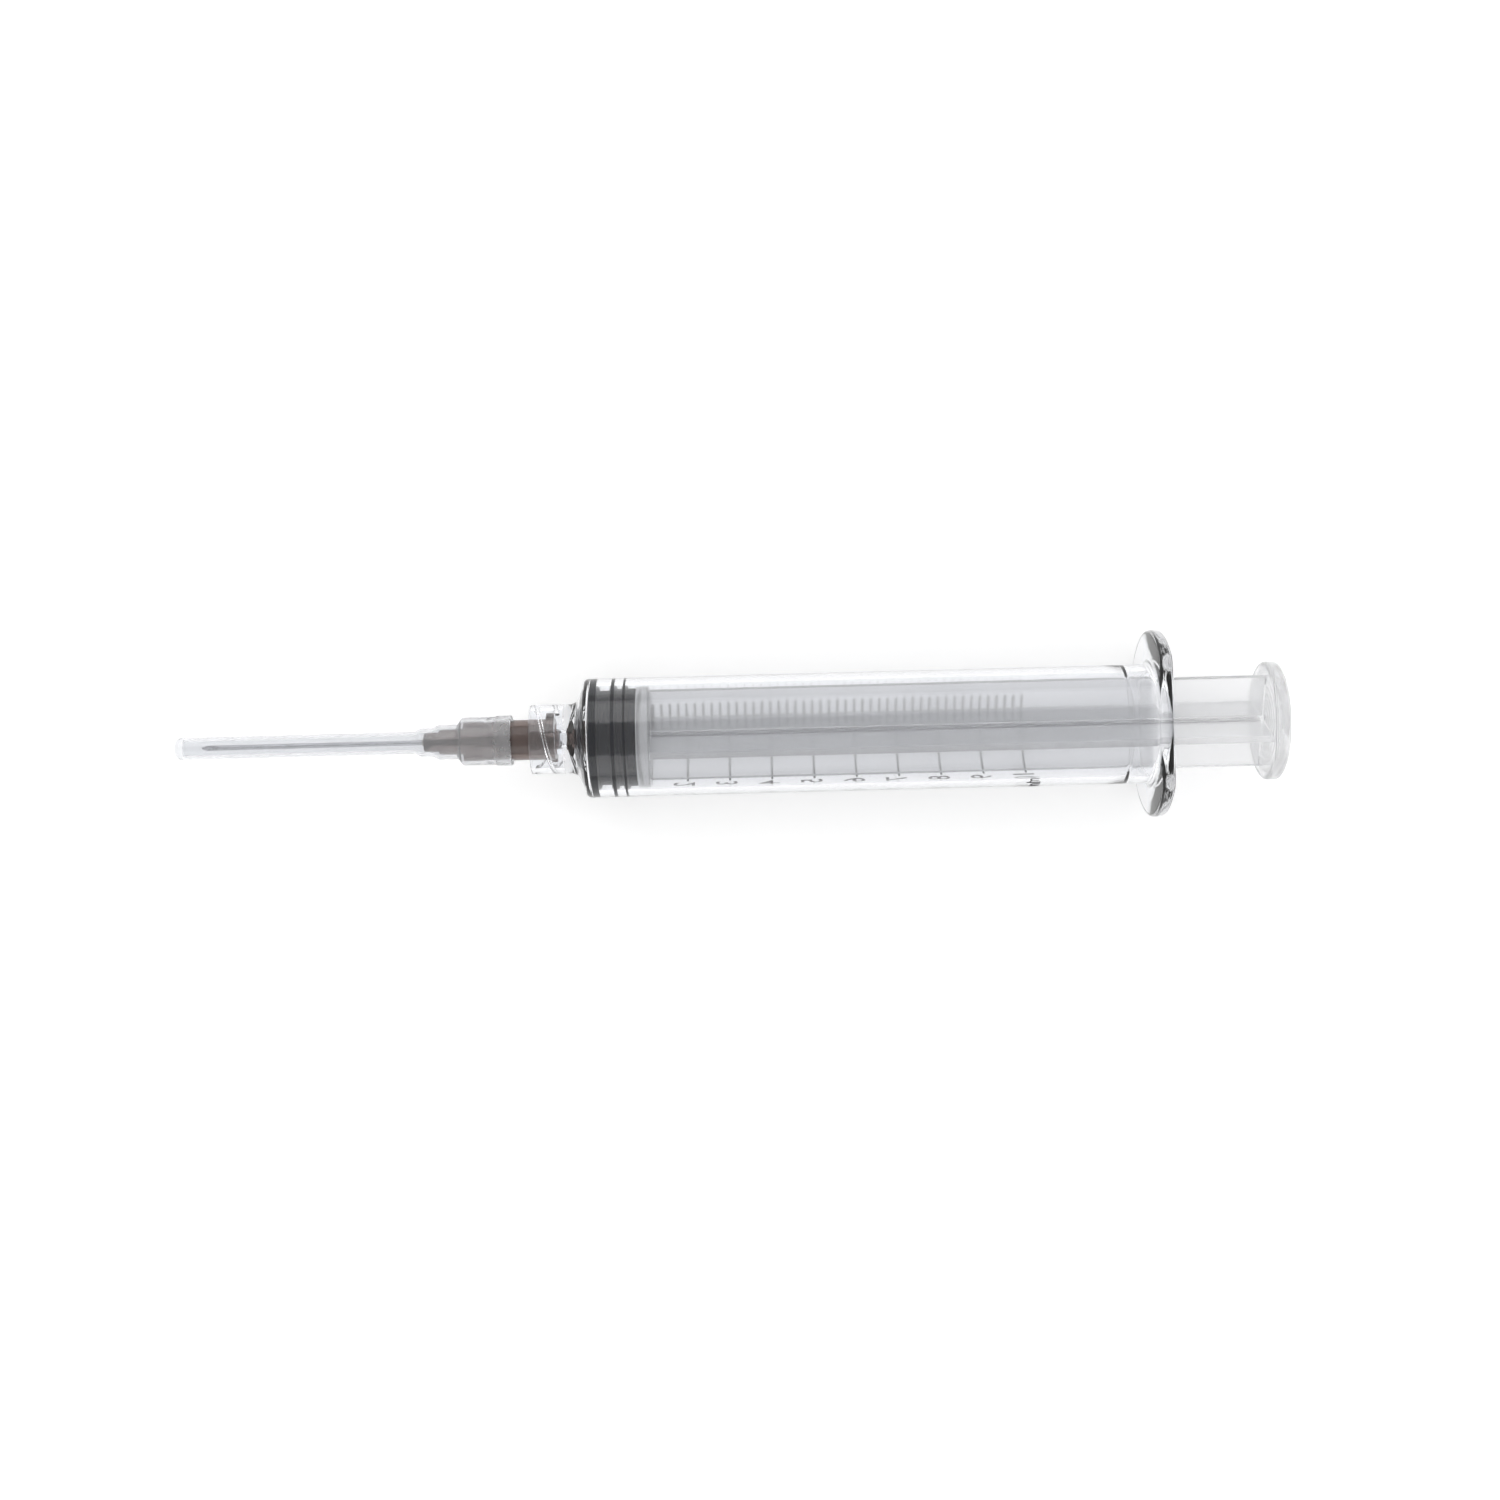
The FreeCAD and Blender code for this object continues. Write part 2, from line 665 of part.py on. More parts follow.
def make_scale_lines():
    """Printed arcs on the underside of the barrel: a long one at each full volume."""
    body = new_body("scale_lines")
    millilitre = "millilitre_side ^ 3 / (pi * bore_radius ^ 2)"
    division = f"{millilitre} / lines_per_millilitre"
    long_line = printed_arcs(body, "long_line", "0", "long_line_angle")
    repeated(body, "long_lines", long_line, ("number_of_millilitres + 1", millilitre))
    short_line = printed_arcs(body, "short_line", division, "short_line_angle")
    fifths = ("lines_per_millilitre - 1", division)
    repeated(body, "short_lines", short_line, fifths, ("number_of_millilitres", millilitre))


MAKERS = [
    make_barrel,
    make_stopper,
    make_plunger_rod,
    make_needle_hub,
    make_cannula,
    make_hub_adhesive,
    make_needle_guard,
    make_scale_lines,
]
for make in MAKERS:
    make()
document.recompute()

# Nothing is written unless every object is sound.
for thing in document.Objects:
    if "Invalid" in thing.State or "Error" in thing.State:
        sys.exit(f"{thing.Name} could not be made: {thing.State}")

os.makedirs("parts", exist_ok=True)
bodies = document.findObjects("PartDesign::Body")
for body in bodies:
    if body.Shape.isNull() or not body.Shape.isValid():
        sys.exit(f"{body.Label} has no sound shape")
for body in bodies:
    print(body.Label, len(body.Shape.Solids), "solids,", round(body.Shape.Volume, 2), "mm3")
    body.Shape.exportStep(f"parts/{body.Label}.step")
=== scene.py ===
import math

import bmesh
import bpy
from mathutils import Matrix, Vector


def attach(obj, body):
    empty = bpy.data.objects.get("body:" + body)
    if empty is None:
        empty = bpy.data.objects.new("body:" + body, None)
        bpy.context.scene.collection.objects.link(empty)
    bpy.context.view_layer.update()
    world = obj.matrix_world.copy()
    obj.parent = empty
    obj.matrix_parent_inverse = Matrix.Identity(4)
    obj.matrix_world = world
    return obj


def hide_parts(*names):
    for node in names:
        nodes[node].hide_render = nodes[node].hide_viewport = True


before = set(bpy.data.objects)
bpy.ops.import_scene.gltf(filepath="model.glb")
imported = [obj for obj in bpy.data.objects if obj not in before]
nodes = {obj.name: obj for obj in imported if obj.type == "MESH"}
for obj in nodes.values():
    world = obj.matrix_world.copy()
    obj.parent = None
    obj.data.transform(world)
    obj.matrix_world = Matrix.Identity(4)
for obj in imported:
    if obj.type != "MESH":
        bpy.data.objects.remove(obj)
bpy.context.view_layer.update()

# Lengths are in millimetres in the frame of the solids. X is the syringe's own axis: it starts at
# the zero line of the scale and points to the thumb press. Angles are in degrees about that axis,
# counted from +Y towards +Z. A ring is an (x, radius) point that is turned about the axis.
MM = 0.001
# Stands in for zero where a value divides
TINY = 1e-6
# Points of a mesh that are nearer to one another than this, in metres, are joined
JOINED = 1e-7

# Barrel
BARREL_SIDES = 256
BORE = 7.3
OUTSIDE = 8.3
SHOULDER = -1.7
CONE_SLOPE = math.tan(math.radians(24.5))
FRONT_WALL = 0.85
BARREL_END = 78.1
BEAD = 73.1
BEAD_HALF = 0.8
BEAD_HEIGHT = 0.13
BEAD_STEPS = 4
# Places of more rings, where a long plain stretch would have long faces
BARREL_PLACES = range(0, 71, 10)
CONE_OUTSIDE = (5.15, 6.0, 7.0, 7.85)
CONE_INSIDE = (7.0, 6.0, 4.5, 3.0, 1.5)
SHOULDER_ROUND = ((-1.86, 8.07), (-1.75, 8.17), (-1.6, 8.25), (-1.42, 8.29), (-1.2, OUTSIDE))
# The bore's rounded mouth: how far in from the end, and how far out from the bore
MOUTH = ((0.0, 0.6), (0.05, 0.48), (0.45, 0.05), (0.6, 0.0))
# The bore's rounded corner at the conical front
CORNER_START = 0.25
CORNER_EASE = 0.05
CORNER_INSET = 0.08

# Finger flange
FLANGE_FRONT = 76.3
FLANGE_RADIUS = 13.0
FLANGE_FLAT = 9.6
FLANGE_CORNER = 2.5
FLANGE_FILLET = 0.7
FLANGE_FRONT_RING = 9.05
FLANGE_REAR_RING = 9.0
# The flange's rounded edge: how far along from its face, and how far in from its outline
FLANGE_EDGE = ((0.0, 0.5), (0.067, 0.25), (0.25, 0.067), (0.5, 0.0))
# Four more sides of the barrel, near the flange's corners
FLANGE_SIDES = (57.0, 123.0, 237.0, 303.0)

# Luer tip and locking collar
TIP_RADIUS = 1.98
TIP_TAPER = 0.03
TIP_LENGTH = 7.1
TIP_PLACES = (-11.0, -9.5, -7.0)
TIP_CHANNEL = 0.95
CHANNEL_PLACES = (-7.0, -10.0)
CHANNEL_EASE = 0.2
CHANNEL_MOUTH = 0.1
COLLAR_BORE = 4.05
COLLAR_OUTSIDE = 4.85
COLLAR_SETBACK = 0.35
COLLAR_LENGTH = 4.6
COLLAR_PLACES = (-7.0, -5.0, -3.9)
COLLAR_FLOOR_RING = 3.0
RIM_ROUND = 0.2

# How far the lugs, the ribs and the rod's fins are turned at rest
LUG_ANGLE = -37.0
RIB_ANGLE = -8.0
ROD_ANGLE = 23.0


def cone_front(radius):
    """Where the barrel's conical front has its outer surface."""
    return SHOULDER - (OUTSIDE - radius) * CONE_SLOPE


def cone_back(radius):
    """Where the barrel's conical front has its inner surface."""
    return cone_front(radius) + FRONT_WALL


COLLAR_FLOOR = cone_front(TIP_RADIUS) - COLLAR_SETBACK
COLLAR_FRONT = COLLAR_FLOOR - COLLAR_LENGTH
TIP_FRONT = COLLAR_FLOOR - TIP_LENGTH


def luer(x):
    """The radius of the tip's taper at a place."""
    return TIP_RADIUS + TIP_TAPER * (x - TIP_FRONT)


# Materials

# The span that most of a noise's values lie in
NOISE_LOW = 0.3
NOISE_HIGH = 0.7
BROAD_DETAIL = 3.0
FINE_DETAIL = 2.0
# The refractive index of the clear and tinted mouldings
PLASTIC_IOR = 1.49


def finish(name, colour, uneven, roughness, spread, broad, fine, depth, inputs):
    """A surface finish whose colour, roughness and height vary a little from place to place.

    broad and fine are the features per metre, along X, Y and Z, of two noises. The broad one
    takes up to the share uneven off the colour and adds up to spread to the roughness. The fine
    one is depth metres high. inputs names other inputs of the shader, the same all over.
    """
    made = bpy.data.materials.new(name)
    made.use_nodes = True
    tree = made.node_tree
    shader = tree.nodes["Principled BSDF"]
    for socket, value in inputs.items():
        shader.inputs[socket].default_value = value
    place = tree.nodes.new("ShaderNodeTexCoord")

    def noise(features, detail):
        stretch = tree.nodes.new("ShaderNodeMapping")
        stretch.inputs["Scale"].default_value = features
        cloud = tree.nodes.new("ShaderNodeTexNoise")
        cloud.inputs["Scale"].default_value = 1.0
        cloud.inputs["Detail"].default_value = detail
        tree.links.new(place.outputs["Object"], stretch.inputs["Vector"])
        tree.links.new(stretch.outputs["Vector"], cloud.inputs["Vector"])
        return cloud.outputs["Fac"]

    clouds = noise(broad, BROAD_DETAIL)
    ramp = tree.nodes.new("ShaderNodeValToRGB")
    darker, full = ramp.color_ramp.elements
    darker.position = NOISE_LOW
    darker.color = (*(channel * (1.0 - uneven) for channel in colour), 1.0)
    full.position = NOISE_HIGH
    full.color = (*colour, 1.0)
    tree.links.new(clouds, ramp.inputs["Fac"])
    tree.links.new(ramp.outputs["Color"], shader.inputs["Base Color"])
    rough = tree.nodes.new("ShaderNodeMapRange")
    rough.inputs["From Min"].default_value = NOISE_LOW
    rough.inputs["From Max"].default_value = NOISE_HIGH
    rough.inputs["To Min"].default_value = roughness + spread
    rough.inputs["To Max"].default_value = roughness
    tree.links.new(clouds, rough.inputs["Value"])
    tree.links.new(rough.outputs["Result"], shader.inputs["Roughness"])
    bump = tree.nodes.new("ShaderNodeBump")
    bump.inputs["Strength"].default_value = 1.0
    bump.inputs["Distance"].default_value = depth
    tree.links.new(noise(fine, FINE_DETAIL), bump.inputs["Height"])
    tree.links.new(bump.outputs["Normal"], shader.inputs["Normal"])
    return made


# Clear moulding: smooth, with long faint waves from the mould
CLEAR = finish(
    "clear_plastic", colour=(0.945, 0.952, 0.97), uneven=0.02, roughness=0.015, spread=0.03,
    broad=(60, 160, 160), fine=(70, 260, 260), depth=6e-6,
    inputs={"Transmission Weight": 1.0, "IOR": PLASTIC_IOR})
# Milky moulding: flow streaks along the fins
ROD = finish(
    "milky_plastic", colour=(0.985, 0.988, 0.998), uneven=0.025, roughness=0.12, spread=0.06,
    broad=(60, 420, 420), fine=(200, 900, 900), depth=8e-6,
    inputs={"Transmission Weight": 0.77, "IOR": PLASTIC_IOR})
# Rubber: near black, with a fine matt grain
RUBBER = finish(
    "dark_rubber", colour=(0.006, 0.008, 0.016), uneven=0.4, roughness=0.42, spread=0.12,
    broad=(350, 350, 350), fine=(5200, 5200, 5200), depth=1.2e-5,
    inputs={"IOR": 1.5, "Specular IOR Level": 0.15})
HUB = finish(
    "tinted_plastic", colour=(0.27, 0.205, 0.185), uneven=0.12, roughness=0.1, spread=0.08,
    broad=(260, 500, 500), fine=(500, 1500, 1500), depth=5e-6,
    inputs={"Transmission Weight": 0.8, "IOR": PLASTIC_IOR})
GUARD = finish(
    "hazy_plastic", colour=(0.87, 0.88, 0.9), uneven=0.05, roughness=0.08, spread=0.07,
    broad=(90, 700, 700), fine=(160, 1400, 1400), depth=6e-6,
    inputs={"Transmission Weight": 0.9, "IOR": PLASTIC_IOR})
# The guard's thicker rim has a frosted grip
RIM = finish(
    "frosted_plastic", colour=(0.87, 0.88, 0.9), uneven=0.05, roughness=0.22, spread=0.1,
    broad=(400, 700, 700), fine=(1800, 1800, 1800), depth=1.2e-5,
    inputs={"Transmission Weight": 0.87, "IOR": PLASTIC_IOR})
# Drawn tube: fine lines along it
STEEL = finish(
    "drawn_steel", colour=(0.58, 0.585, 0.6), uneven=0.12, roughness=0.18, spread=0.14,
    broad=(300, 9000, 9000), fine=(150, 30000, 30000), depth=1.5e-6,
    inputs={"Metallic": 1.0})
INK = finish(
    "black_ink", colour=(0.02, 0.02, 0.024), uneven=0.5, roughness=0.45, spread=0.15,
    broad=(2500, 2500, 2500), fine=(9000, 9000, 9000), depth=3e-6,
    inputs={"IOR": 1.5})
ADHESIVE = finish(
    "cured_adhesive", colour=(0.82, 0.79, 0.72), uneven=0.08, roughness=0.12, spread=0.08,
    broad=(1500, 1500, 1500), fine=(2500, 2500, 2500), depth=1e-5,
    inputs={"Transmission Weight": 0.7, "IOR": 1.5})


def paint(thing, look):
    """Give a piece one material."""
    thing.data.materials.clear()
    thing.data.materials.append(look)


# Building by turning

def turns(count, extra=()):
    """Evenly spaced angles, with a few exact ones among them."""
    even = [360.0 * step / count for step in range(count)]
    return sorted(set(round(angle % 360.0, 5) for angle in [*even, *extra]))


def arc(x, radius, size, first, last, steps):
    """Rings of a rounding about a centre, from one angle to another in the profile."""
    rings = []
    for step in range(steps + 1):
        angle = math.radians(first + (last - first) * step / steps)
        rings.append((x + size * math.cos(angle), radius + size * math.sin(angle)))
    return rings


def eased(x, radius, size, corner):
    """Rings of a small rounded edge, behind a face that looks to the front."""
    return [(x, radius - size), (x + corner, radius - corner), (x + size, radius)]


def skin(name, rings, angles, sharp=35.0):
    """A closed smooth skin through rings.

    A ring's radius may be a function of the angle. The last ring joins the first, unless both
    lie on the axis.
    """
    verts = []
    faces = []
    rows = []
    for x, radius in rings:
        if not callable(radius) and radius <= 0.0:
            rows.append([len(verts)])
            verts.append((x * MM, 0.0, 0.0))
            continue
        row = []
        for angle in angles:
            reach = radius(angle) if callable(radius) else radius
            turn = math.radians(angle)
            row.append(len(verts))
            verts.append((x * MM, reach * math.cos(turn) * MM, reach * math.sin(turn) * MM))
        rows.append(row)
    pairs = list(zip(rows, rows[1:]))
    if len(rows[0]) > 1:
        pairs.append((rows[-1], rows[0]))
    count = len(angles)
    for one, two in pairs:
        for step in range(count):
            after = (step + 1) % count
            if len(one) == 1:
                faces.append((one[0], two[after], two[step]))
            elif len(two) == 1:
                faces.append((one[step], one[after], two[0]))
            else:
                faces.append((one[step], one[after], two[after], two[step]))
    mesh = bpy.data.meshes.new(name)
    mesh.from_pydata(verts, [], faces)
    return finished(name, mesh, sharp)


def finished(name, mesh, sharp):
    """An object of a mesh, with doubled points joined, faces outward and edges smoothed."""
    work = bmesh.new()
    work.from_mesh(mesh)
    bmesh.ops.remove_doubles(work, verts=work.verts, dist=JOINED)
    bmesh.ops.dissolve_degenerate(work, edges=work.edges, dist=JOINED)
    bmesh.ops.recalc_face_normals(work, faces=work.faces)
    work.to_mesh(mesh)
    work.free()
    mesh.shade_smooth()
    mesh.set_sharp_from_angle(angle=math.radians(sharp))
    return shown(name, mesh)


def shown(name, data):
    """An object of some data, in the scene."""
    thing = bpy.data.objects.new(name, data)
    bpy.context.scene.collection.objects.link(thing)
    return thing


def nearest(angle, places):
    """The signed angle to the nearest of some places."""
    away = [(angle - place + 180.0) % 360.0 - 180.0 for place in places]
    return min(away, key=abs)


# Barrel

def flange(inset):
    """The flange's outline, with rounded corners, moved in by an inset."""
    wide = FLANGE_RADIUS - inset
    flat = FLANGE_FLAT - inset
    size = FLANGE_CORNER - inset
    # The centre of a corner's rounding, which touches the flat and the round end from inside
    up = flat - size
    across = math.sqrt((wide - size) ** 2 - up ** 2)
    start = math.degrees(math.atan2(flat, across))
    end = math.degrees(math.atan2(up, across))

    def radius(angle):
        turn = math.radians(angle)
        first = abs(math.cos(turn))
        second = abs(math.sin(turn))
        folded = math.degrees(math.atan2(second, first))
        if folded >= start:
            return flat / second
        if folded <= end:
            return wide
        middle = across * first + up * second
        return middle + math.sqrt(max(middle ** 2 - across ** 2 - up ** 2 + size ** 2, 0.0))
    return radius


# The needle hub's rear face and its lugs, which the collar's thread holds
HUB_STANDOFF = 1.2
LUG_LENGTH = 1.1
HUB_REAR = COLLAR_FLOOR - HUB_STANDOFF
LUG_MIDDLE = HUB_REAR - LUG_LENGTH / 2.0

THREAD_LEAD = 5.0
THREAD_INSET = 0.75
THREAD_RUN = 3.2
THREAD_HEIGHT = 0.5
# Half a flight's width at its root, how much of that its flank takes, and how long its ends fade
THREAD_HALF = 0.263
THREAD_FLANK = 0.093
THREAD_FADE = 0.15
THREAD_RINGS = 56
THREAD_START = COLLAR_FRONT + THREAD_INSET
# A quarter turn on from the lugs, so that each flight is midway between the turns of a lug
THREAD_ANGLE = 90.0 + LUG_ANGLE + 360.0 * ((THREAD_START - LUG_MIDDLE) / THREAD_LEAD + 0.25)


def threaded(x):
    """The collar's bore at a place: two right-hand flights that stand in from its wall."""
    def radius(angle):
        depth = 0.0
        for first in (THREAD_ANGLE, THREAD_ANGLE + 180.0):
            run = ((angle - first) % 360.0) / 360.0 * THREAD_LEAD
            if run > THREAD_RUN:
                continue
            away = abs(x - THREAD_START - run)
            ends = min(min(run, THREAD_RUN - run) / THREAD_FADE, 1.0)
            share = min(max((THREAD_HALF - away) / THREAD_FLANK, 0.0), 1.0) * ends
            depth = max(depth, THREAD_HEIGHT * share)
        return COLLAR_BORE - depth
    return radius


def barrel_outside():
    """Rings from the tip back to the flange."""
    rings = arc(TIP_FRONT + RIM_ROUND, TIP_RADIUS - RIM_ROUND, RIM_ROUND, 180, 92, 4)
    rings += [(x, luer(x)) for x in (*TIP_PLACES, COLLAR_FLOOR)]
    rings += [(COLLAR_FLOOR, COLLAR_FLOOR_RING), (COLLAR_FLOOR, threaded(COLLAR_FLOOR))]
    run = COLLAR_FRONT + RIM_ROUND - COLLAR_FLOOR
    for step in range(1, THREAD_RINGS):
        x = COLLAR_FLOOR + run * step / THREAD_RINGS
        rings.append((x, threaded(x)))
    rings += arc(COLLAR_FRONT + RIM_ROUND, COLLAR_BORE + RIM_ROUND, RIM_ROUND, 270, 180, 4)
    rings += arc(COLLAR_FRONT + RIM_ROUND, COLLAR_OUTSIDE - RIM_ROUND, RIM_ROUND, 180, 90, 4)
    rings += [(x, COLLAR_OUTSIDE) for x in COLLAR_PLACES]
    rings += [(cone_front(radius), radius) for radius in CONE_OUTSIDE]
    rings += SHOULDER_ROUND
    rings += [(x, OUTSIDE) for x in BARREL_PLACES]
    rings += arc(FLANGE_FRONT - FLANGE_FILLET, OUTSIDE + FLANGE_FILLET, FLANGE_FILLET, 270, 360, 6)
    rings += [(FLANGE_FRONT, FLANGE_FRONT_RING)]
    rings += [(FLANGE_FRONT + along, flange(inset)) for along, inset in FLANGE_EDGE]
    rings += [(BARREL_END - along, flange(inset)) for along, inset in reversed(FLANGE_EDGE)]
    return rings


def barrel_inside():
    """Rings from the mouth forward to the tip's channel."""
    rings = [(BARREL_END, FLANGE_REAR_RING)]
    rings += [(BARREL_END - along, BORE + out) for along, out in MOUTH]
    for step in range(2 * BEAD_STEPS + 1):
        along = 1.0 - step / BEAD_STEPS
        height = BEAD_HEIGHT / 2.0 * (1.0 + math.cos(math.pi * along))
        rings.append((BEAD + BEAD_HALF * along, BORE - height))
    rings += [(x, BORE) for x in reversed(BARREL_PLACES)]
    rings += [(cone_back(BORE) + CORNER_START, BORE)]
    rings += [(cone_back(BORE - CORNER_EASE) + CORNER_EASE, BORE - CORNER_INSET)]
    rings += [(cone_back(radius), radius) for radius in CONE_INSIDE]
    rings += [(cone_back(TIP_CHANNEL + CHANNEL_EASE), TIP_CHANNEL + CHANNEL_EASE)]
    rings += [(cone_back(TIP_CHANNEL) - CHANNEL_EASE, TIP_CHANNEL)]
    rings += [(x, TIP_CHANNEL) for x in (*CHANNEL_PLACES, TIP_FRONT + CHANNEL_MOUTH)]
    rings += [(TIP_FRONT, TIP_CHANNEL + CHANNEL_MOUTH)]
    return rings


def make_barrel():
    rings = [*barrel_outside(), *barrel_inside()]
    barrel = skin("barrel_moulding", rings, turns(BARREL_SIDES, FLANGE_SIDES))
    paint(barrel, CLEAR)
    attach(barrel, "barrel")
    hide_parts("barrel")


# Stopper

STOPPER_SIDES = 192
STOPPER_RADIUS = 7.27
STOPPER_LENGTH = 6.4
# The rings press into the bore's wall by this much, so that no air shows between them.
GRIP = 0.004
# How far each ring starts and ends behind the stopper's edge, and how deep the valley after it is
STOPPER_RINGS = ((0.0, 1.3, 0.7), (2.95, 3.8, 0.5), (4.6, 5.3, 0.45))
RING_ROUND = 0.22
VALLEY_ROUND = 0.2
HEEL_ROUND = 0.15
HEEL_RING = 5.0
NOSE_GAP = 0.1
# The nose is cut flat where its cone would have the first radius; the others shape its edge
NOSE_CUT = 1.4
NOSE_FLAT = 1.1
NOSE_EDGE = 1.5
NOSE_EASE = 0.02
NOSE_RINGS = (2.5, 4.0, 5.5, 6.6)
# The seat that holds the rod's head: a neck, and an undercut in front of it
SEAT_NECK = 2.52
SEAT_NECK_LENGTH = 2.08
SEAT_UNDERCUT = 3.72
SEAT_DEPTH = 4.92


def nose(radius):
    """Where the stopper's conical nose is."""
    return cone_back(radius) + NOSE_GAP


STOPPER_FRONT = nose(STOPPER_RADIUS)
HEEL = STOPPER_FRONT + STOPPER_LENGTH


def make_stopper():
    top = BORE + GRIP - RING_ROUND
    rings = [(nose(NOSE_CUT), 0.0), (nose(NOSE_CUT), NOSE_FLAT)]
    rings += [(nose(NOSE_EDGE) + NOSE_EASE, NOSE_EDGE)]
    rings += [(nose(radius), radius) for radius in NOSE_RINGS]
    starts = [STOPPER_FRONT + start for start, _, _ in STOPPER_RINGS[1:]]
    for (start, end, depth), following in zip(STOPPER_RINGS, [*starts, None]):
        low = STOPPER_RADIUS - depth
        valley = low + VALLEY_ROUND
        rings += arc(STOPPER_FRONT + start + RING_ROUND, top, RING_ROUND, 165, 90, 4)
        rings += arc(STOPPER_FRONT + end - RING_ROUND, top, RING_ROUND, 90, 8, 4)
        rings += arc(STOPPER_FRONT + end + VALLEY_ROUND, valley, VALLEY_ROUND, 188, 270, 4)
        if following is not None:
            rings += arc(following - VALLEY_ROUND, valley, VALLEY_ROUND, 270, 352, 4)
    rings += arc(HEEL - HEEL_ROUND, low - HEEL_ROUND, HEEL_ROUND, 90, 0, 3)
    rings += [(HEEL, HEEL_RING), (HEEL, SEAT_NECK)]
    rings += [(HEEL - SEAT_NECK_LENGTH, SEAT_NECK), (HEEL - SEAT_NECK_LENGTH, SEAT_UNDERCUT)]
    rings += [(HEEL - SEAT_DEPTH, SEAT_NECK), (HEEL - SEAT_DEPTH, 0.0)]
    stopper = skin("stopper_rubber", rings, turns(STOPPER_SIDES))
    paint(stopper, RUBBER)
    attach(stopper, "stopper")
    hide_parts("stopper")


# Plunger rod

ROD_SIDES = 160
ROD_SHARP = 30.0
ROD_GAP = 0.1
# The head in the stopper's seat: places in front of the disc, with their radii
HEAD = ((4.8, 0.0), (4.8, 2.3), (4.7, 2.45), (2.3, 3.55), (2.2, 3.5), (2.2, 2.4), (0.0, 2.4))
DISC_RADIUS = 7.05
DISC_THICKNESS = 1.8
DISC_EASE = 0.2
DISC_CORNER = 0.06
FIN_REACH = 6.65
FIN_HALF = 0.5
FIN_FILLING = 0.35
# The filling where fins meet reaches no farther than this many times a flank's radius
FILLING_REACH = 1.6
FIN_PLACES = range(15, 76, 15)
PRESS_STANDOFF = 14.2
PRESS_THICKNESS = 2.0
PRESS_RADIUS = 8.25
PRESS_ROUND = 0.6
PRESS_RING = 7.5
# Fine grooves on the thumb press, which turn about the axis
GROOVES = 7
GROOVE_START = 7.2
GROOVE_PITCH = 1.0
GROOVE_DEPTH = 0.14
GROOVE_FLOOR = 0.2
GATE_RADIUS = 0.4
GATE_DEPTH = 0.1


def cross(reach, half, filling):
    """The outline of four fins, with a small filling where they meet."""
    places = [ROD_ANGLE + 90.0 * number for number in range(4)]
    corner = half * math.sqrt(2.0) + filling * (2.0 - math.sqrt(2.0))

    def radius(angle):
        away = math.radians(abs(nearest(angle, places)))
        flank = half / max(math.sin(away), TINY)
        filled = corner / max(math.cos(math.radians(45.0) - away), TINY)
        return min(reach, max(flank, min(filled, flank * FILLING_REACH)))
    return radius


def make_rod():
    front = HEEL + ROD_GAP
    back = front + DISC_THICKNESS
    press = BARREL_END + PRESS_STANDOFF
    rear = press + PRESS_THICKNESS
    edge = math.degrees(math.asin(FIN_HALF / FIN_REACH))
    exact = []
    for number in range(4):
        middle = ROD_ANGLE + 90.0 * number
        exact += [middle - edge, middle + edge, middle + 45.0]
    rings = [(front - ahead, radius) for ahead, radius in HEAD]
    rings += eased(front, DISC_RADIUS, DISC_EASE, DISC_CORNER)
    rings += [(back - DISC_EASE, DISC_RADIUS), (back - DISC_CORNER, DISC_RADIUS - DISC_CORNER)]
    rings += [(back, DISC_RADIUS - DISC_EASE)]
    fins = cross(FIN_REACH, FIN_HALF, FIN_FILLING)
    rings += [(x, fins) for x in (back, *FIN_PLACES, press)]
    rings += [(press, PRESS_RING)]
    rings += arc(press + PRESS_ROUND, PRESS_RADIUS - PRESS_ROUND, PRESS_ROUND, 180, 90, 5)
    rings += arc(rear - PRESS_ROUND, PRESS_RADIUS - PRESS_ROUND, PRESS_ROUND, 90, 0, 5)
    for number in range(GROOVES):
        outer = GROOVE_START - GROOVE_PITCH * number
        inner = outer - 2.0 * GROOVE_DEPTH - GROOVE_FLOOR
        rings += [(rear, outer), (rear - GROOVE_DEPTH, outer - GROOVE_DEPTH)]
        rings += [(rear - GROOVE_DEPTH, inner + GROOVE_DEPTH), (rear, inner)]
    rings += [(rear, GATE_RADIUS), (rear - GATE_DEPTH, GATE_RADIUS - GATE_DEPTH)]
    rings += [(rear - GATE_DEPTH, 0.0)]
    rod = skin("rod_moulding", rings, turns(ROD_SIDES, exact), ROD_SHARP)
    paint(rod, ROD)
    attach(rod, "plunger")
    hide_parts("plunger_rod")


# Needle hub

HUB_SIDES = 192
SKIRT_FRONT = HUB_REAR - 5.9
GRIP_FRONT = SKIRT_FRONT - 2.9
RIB_FRONT = GRIP_FRONT - 3.9
SHANK_FRONT = RIB_FRONT - 3.5
HUB_FRONT = SHANK_FRONT - 2.1
SKIRT_RADIUS = 2.83
GRIP_RADIUS = 2.72
SHANK_RADIUS = 1.8
NOSE_RADIUS = 1.35
NOSE_MOUTH = 0.95
HUB_EASE = 0.15
HUB_CORNER = 0.04
SKIRT_EASE = 0.03
GRIP_EASE = 0.06
LUG_HALF = 1.5
LUG_REACH = 3.9
# The bevel on the edges of the lugs, the ribs and the socket's mouth
BEVEL = 0.08
RIB_REACH = 2.72
RIB_HALF = 0.38
# How much a rib's flank leans out for each millimetre down to its foot
RIB_SLOPE = 0.26
# The core between the ribs, in front of a step and behind it
RIB_FOOT = 2.15
RIB_STEP = 2.42
# How far behind the ribs' front the step starts, and how long it is
STEP_START = 2.9
STEP_RUN = 0.12
# How far in front of the grip the ribs end
RIB_END = 0.12
# An edge of a rib's top is looked for this far below it
BELOW_TOP = 0.002
# How far in front of a rib's rounded end its rings are
RIB_END_RINGS = (RIB_HALF, 0.3, 0.2, 0.1, 0.04)
